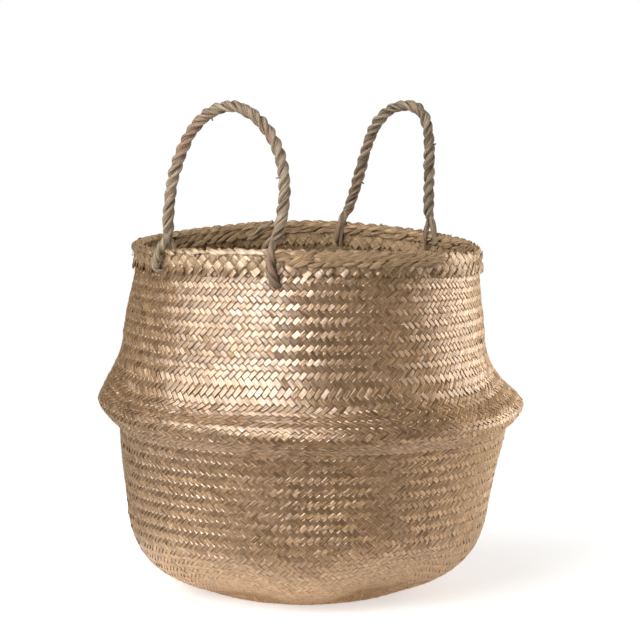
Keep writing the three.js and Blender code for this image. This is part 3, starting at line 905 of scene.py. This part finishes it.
def foot_strand(name, azimuth, points, radii, tone, body="upper", **settings):
    """A leafy strand at a foot. radii are its radius at its two ends and between them."""
    outward, rightward = direction_at(azimuth), direction_at(azimuth + 90)
    lowered = sway(math.radians(azimuth), RIM_HEIGHT)[1]
    places = [outward * r + rightward * s + np.array([0, 0, z + lowered * smooth(335 - z, 0, 12)])
              for r, s, z in points]
    centres = through(places, 12 * len(points))
    radius = np.interp(np.linspace(0, 1, len(centres)), np.linspace(0, 1, len(radii)), radii)
    hint = np.broadcast_to(rightward + 0.3 * outward, centres.shape)
    return leafy_strand(name, centres, hint, radius, tone, body, **settings)


FRONT_FOOT, BACK_FIRST_FOOT, BACK_SECOND_FOOT = 21.1, 164.9, 199.1
LOOP_INSIDE = [(150, 0, 300), (146.5, 0, 304), (146, 0, 314), (147, 0, 322)]

# Each one's name, foot, points, radii, tone, seed of its folds, twist, and the solid that it dresses
FOOT_STRANDS = [
    ("front_lacing_left", -FRONT_FOOT,
     [(152.5, 1, 330), (156.5, -0.5, 326), (161, -3, 318), (161.3, -6, 309), (159, -7.5, 303)]
     + LOOP_INSIDE, [3.4, 4.2, 4.2, 3.5, 2.4, 1.4, 1.4, 1.4, 1.4],
     0.7, 31, 0.22, "front_handle_root_1"),
    ("front_lacing_right", FRONT_FOOT,
     [(152.5, 0, 329), (157.5, -1, 324), (161.5, -1.5, 314), (161.6, -1, 303), (160.6, 1, 296.5),
      (157, 2.5, 292.5), (150, 1, 292)] + LOOP_INSIDE[1:],
     [2.2, 3.1, 3.9, 4.3, 4.6, 3.4, 1.4, 1.4, 1.4, 1.4], 0.3, 32, 0.16, "front_handle_root_2"),
    ("back_lacing_right", BACK_FIRST_FOOT,
     [(152.5, 0, 330), (148, 0, 324), (145.4, -1, 314), (146, -2, 306), (151, -2, 303.5),
      (157, -1, 306), (158.6, 0, 314), (155.5, 0, 321)],
     [2.2, 2.6, 2.3, 1.6, 1.3, 1.3, 1.3, 1.2], 0.1, 33, 0.12, "back_handle_root_1"),
    ("back_lacing_left", BACK_SECOND_FOOT,
     [(152.5, 0, 330), (147, 2.5, 323), (144.8, 6, 313), (145.6, 7.5, 305), (151, 6, 303),
      (157, 4, 305), (158.6, 2, 314), (155.5, 0, 321)],
     [3.6, 3.8, 3.4, 2.2, 1.3, 1.3, 1.3, 1.2], 0.45, 34, 0.12, "back_handle_root_2"),
    ("front_strand_end_left", -FRONT_FOOT,
     [(151, 1, 329), (148, 2, 323), (146, 3, 315), (145.8, 3.5, 306)],
     [1.5, 1.8, 1.5, 1.0], 0.6, 41, 0, "front_handle_tail_1"),
    ("front_strand_end_right", FRONT_FOOT,
     [(152, -1, 333), (150, -5, 328), (147.3, -9.5, 322.5), (145.8, -11, 313), (145.8, -11.5, 305)],
     [1.9, 2.5, 2.2, 1.7, 1.0], 0.5, 42, 0.15, "front_handle_tail_2"),
    ("back_strand_end_right", BACK_FIRST_FOOT,
     [(151, -2, 331), (147.5, -8, 329), (145.3, -13, 322), (145.4, -17, 313)],
     [1.8, 2.7, 2.4, 1.4], 0.5, 43, 0, "back_handle_tail_1"),
    ("back_strand_end_left", BACK_SECOND_FOOT,
     [(150, 1, 326), (145.8, 2, 319), (144.6, 2.5, 309), (144.8, 4, 300.5)],
     [1.3, 1.5, 1.4, 0.9], 0.3, 44, 0, "back_handle_tail_2"),
]
for name, foot, points, radii, tone, seed, twist, solid in FOOT_STRANDS:
    laced = foot_strand(name, foot, points, radii, tone, seed=seed, twist=twist)
    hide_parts(solid)

# Ends of strands that stick out of the ropes themselves
foot_strand("front_rope_loose_end", FRONT_FOOT,
            [(153, -1, 346), (151, -9, 341), (148.5, -17, 335.5), (147, -24, 332)],
            [1.5, 1.9, 1.7, 0.8], 0.1, body="front_handle", seed=45, twist=0.1)
foot_strand("front_rope_short_end", FRONT_FOOT, [(152, 2, 336), (152, 6, 335), (152.5, 8.5, 332)],
            [1.3, 1.4, 0.8], 0.6, body="front_handle", seed=46)

STUB_RINGS = 8
STUB_ENDS = (2.5, 7.2)
STUB_RADII = (1.3, 0.5)


def rope_stub(name, side_name, share, lean):
    """The short cut end of a leaf, standing out of a rope at a share of its length. lean is its
    direction in the room."""
    line = rope_lines[side_name]
    index = int(share * (len(line) - 1))
    direction = unit(np.gradient(line, axis=0)[index])
    way = unit(np.array(lean) + 0.3 * direction)
    centres = line[index] + way * np.linspace(*STUB_ENDS, STUB_RINGS)[:, None]
    leafy_strand(name, centres, np.broadcast_to(direction, centres.shape),
                 np.linspace(*STUB_RADII, STUB_RINGS), 0.1, f"{side_name}_handle", seed=int(share * 100))


rope_stub("front_rope_stub_1", "front", 0.30, (-0.3, 0.2, 1.0))
rope_stub("front_rope_stub_2", "front", 0.42, (0.2, 0.1, -1.0))
rope_stub("front_rope_stub_3", "front", 0.80, (-0.8, -0.5, 0.1))
rope_stub("back_rope_stub_1", "back", 0.27, (0.8, 0.5, 0.2))
rope_stub("back_rope_stub_2", "back", 0.86, (0.7, 0.5, -0.2))


# Stage: pale floor, white surround and plain soft studio light

CAMERA_AZIMUTH = 32.3
WARM_WHITE = "#FFEACA"
FLOOR_HALF = 30
FLOOR_HEIGHT = -0.0005

# Metres from the middle over which the camera stops seeing the floor, the gold stops mirroring it, and
# the gold stops mirroring it at the camera's side
SEEN_FADE = {"From Min": 0.3, "From Max": 0.75}
MIRRORED_FADE = {"From Min": 0.18, "From Max": 0.34}
FRONT_FADE = {"From Min": 0.14, "From Max": 0.25}

# Glow of the floor, the share of it that the gold mirrors, and how clear the far floor is to the gold
FLOOR_GLOW = 0.54
MIRRORED_GLOW = 0.75
FAR_CLEAR = 0.75

# Glow of the surround as a light and as the gold mirrors it, from dim at the camera's side to bright
# behind the basket, and where its bright side lies: degrees round from the camera, and below level
ROOM_FILL = 0.29
ROOM_MIRRORED = {"From Min": 0.25, "From Max": 0.9, "To Min": 0.13, "To Max": 0.95}
ROOM_TURN = 140
ROOM_DIP = 0.35

# Pale floor that keeps the shadow and runs out into the white surround for the camera. What the gold
# mirrors of it is a warm white near the basket and fades further out
floor_material = bpy.data.materials.new("pale_floor")
tree = empty_tree(floor_material)
place = add_node(tree, "TexCoord")
distance = add_node(tree, "VectorMath", {0: (place, "Object")}, operation="LENGTH")
path = add_node(tree, "LightPath")
faded = add_node(tree, "MapRange", {"Value": (distance, "Value"), **SEEN_FADE}, **SMOOTHLY)
faded = add_node(tree, "Math", {0: (faded, 0), 1: (path, "Is Camera Ray")}, operation="MULTIPLY")
front = add_node(tree, "VectorMath", {
    0: (place, "Object"), 1: tuple(direction_at(CAMERA_AZIMUTH))}, operation="DOT_PRODUCT")
front = add_node(tree, "MapRange", {"Value": (front, "Value"), **FRONT_FADE}, **SMOOTHLY)
away = add_node(tree, "MapRange", {"Value": (distance, "Value"), **MIRRORED_FADE}, **SMOOTHLY)
dim = add_node(tree, "Math", {0: (away, 0), 1: FAR_CLEAR}, operation="MULTIPLY")
dim = add_node(tree, "Math", {0: (dim, 0), 1: (front, 0)}, operation="MAXIMUM")
dim = add_node(tree, "Math", {0: (dim, 0), 1: (path, "Is Glossy Ray")}, operation="MULTIPLY")
faded = add_node(tree, "Math", {0: (faded, 0), 1: (dim, 0)}, operation="MAXIMUM")
glow = add_node(tree, "Math", {0: 1.0, 1: (away, 0)}, operation="SUBTRACT")
glow = add_node(tree, "Math", {0: (glow, 0), 1: (path, "Is Glossy Ray")}, operation="MULTIPLY")
glow = add_node(tree, "Math", {
    0: (glow, 0), 1: MIRRORED_GLOW, 2: (path, "Is Camera Ray")}, operation="MULTIPLY_ADD")
glow = add_node(tree, "Math", {0: (glow, 0), 1: FLOOR_GLOW}, operation="MULTIPLY")
glow_colour = add_node(tree, "Mix", {
    MIX_FACTOR: (path, "Is Glossy Ray"), MIX_A: (1, 1, 1, 1), MIX_B: linear(WARM_WHITE)}, data_type="RGBA")
surface = add_node(tree, "BsdfPrincipled", {
    "Base Color": linear("#F4F3F1"), "Roughness": 0.9, "Emission Color": (glow_colour, MIX_RESULT),
    "Emission Strength": (glow, 0)})
clear = add_node(tree, "BsdfTransparent")
blend = add_node(tree, "MixShader", {0: (faded, 0), 1: (surface, 0), 2: (clear, 0)})
add_node(tree, "OutputMaterial", {"Surface": (blend, 0)})
bm = bmesh.new()
bmesh.ops.create_grid(bm, x_segments=1, y_segments=1, size=FLOOR_HALF)
bmesh.ops.translate(bm, verts=bm.verts[:], vec=(0, 0, FLOOR_HEIGHT))
floor_mesh = as_mesh(bm, "floor")[0]
floor_mesh.materials.append(floor_material)
add_object("floor", floor_mesh)

# The surround is white for the camera. What the gold mirrors of it is a warm white behind the basket,
# which dims towards the camera's side of the room, so that the gold shows it at its edges only
world = bpy.data.worlds.new("studio")
bpy.context.scene.world = world
tree = empty_tree(world)
path = add_node(tree, "LightPath")
way = add_node(tree, "TexCoord")
behind = direction_at(CAMERA_AZIMUTH + ROOM_TURN) - np.array([0, 0, ROOM_DIP])
towards = add_node(tree, "VectorMath", {
    0: (way, "Generated"), 1: tuple(behind)}, operation="DOT_PRODUCT")
room = add_node(tree, "MapRange", {"Value": (towards, "Value"), **ROOM_MIRRORED}, **SMOOTHLY)
strength = add_node(tree, "Mix", {
    0: (path, "Is Glossy Ray"), 2: ROOM_FILL, 3: (room, 0)}, data_type="FLOAT")
strength = add_node(tree, "Math", {
    0: (strength, 0), 1: (path, "Is Camera Ray")}, operation="MAXIMUM")
room_colour = add_node(tree, "Mix", {
    MIX_FACTOR: (path, "Is Glossy Ray"), MIX_A: (1, 1, 1, 1), MIX_B: linear(WARM_WHITE)}, data_type="RGBA")
surround = add_node(tree, "Background", {
    "Color": (room_colour, MIX_RESULT), "Strength": (strength, 0)})
add_node(tree, "OutputWorld", {"Surface": (surround, 0)})


def turn_back(thing, back):
    """Turns a lamp or the camera so that its back is in this direction."""
    thing.rotation_mode = "QUATERNION"
    thing.rotation_quaternion = back.to_track_quat("Z", "Y")


# Softboxes that face the middle of the basket: name, degrees to the right of the camera and up from
# level, distance, width, height and watts
LIT_POINT = Vector((0, 0, 0.2))
SOFTBOXES = [
    ("key_softbox", -30, 24, 1.9, 1.1, 1.2, 23),
    ("left_softbox", -71, 26, 1.9, 1.4, 1.5, 16.5),
    ("right_softbox", 78, 12, 2.0, 0.5, 0.8, 2),
    ("right_edge_softbox", 112, 10, 2.0, 1.5, 1.1, 11.5),
    ("top_softbox", -35, 66, 2.0, 1.0, 1.0, 8),
]
for name, aside, rise, distance, width, height, power in SOFTBOXES:
    light = bpy.data.lights.new(name, "AREA")
    light.shape = "RECTANGLE"
    light.size, light.size_y, light.energy = width, height, power
    towards = Vector(direction_at(CAMERA_AZIMUTH + aside, rise))
    lamp = add_object(name, light)
    lamp.location = LIT_POINT + towards * distance
    turn_back(lamp, towards)

# Camera at the photograph's viewing angle
CAMERA_ELEVATION = 6.49
CAMERA_DISTANCE = 2.826
CAMERA_LENS = 176.6
CAMERA_SENSOR = 36
LOOK_POINT = Vector((0, 0, 0.2565))
AIM_RIGHT = 0.0099
AIM_DOWN = 0.01253
back = Vector(direction_at(CAMERA_AZIMUTH, CAMERA_ELEVATION))
right = Vector(direction_at(CAMERA_AZIMUTH + 90))
upward = back.cross(right)
aim = LOOK_POINT + right * AIM_RIGHT - upward * AIM_DOWN
camera_data = bpy.data.cameras.new("camera")
camera_data.lens = CAMERA_LENS
camera_data.sensor_width = CAMERA_SENSOR
camera = add_object("camera", camera_data)
camera.location = LOOK_POINT + back * CAMERA_DISTANCE
turn_back(camera, camera.location - aim)
bpy.context.scene.camera = camera
bpy.context.scene.view_settings.view_transform = "Standard"
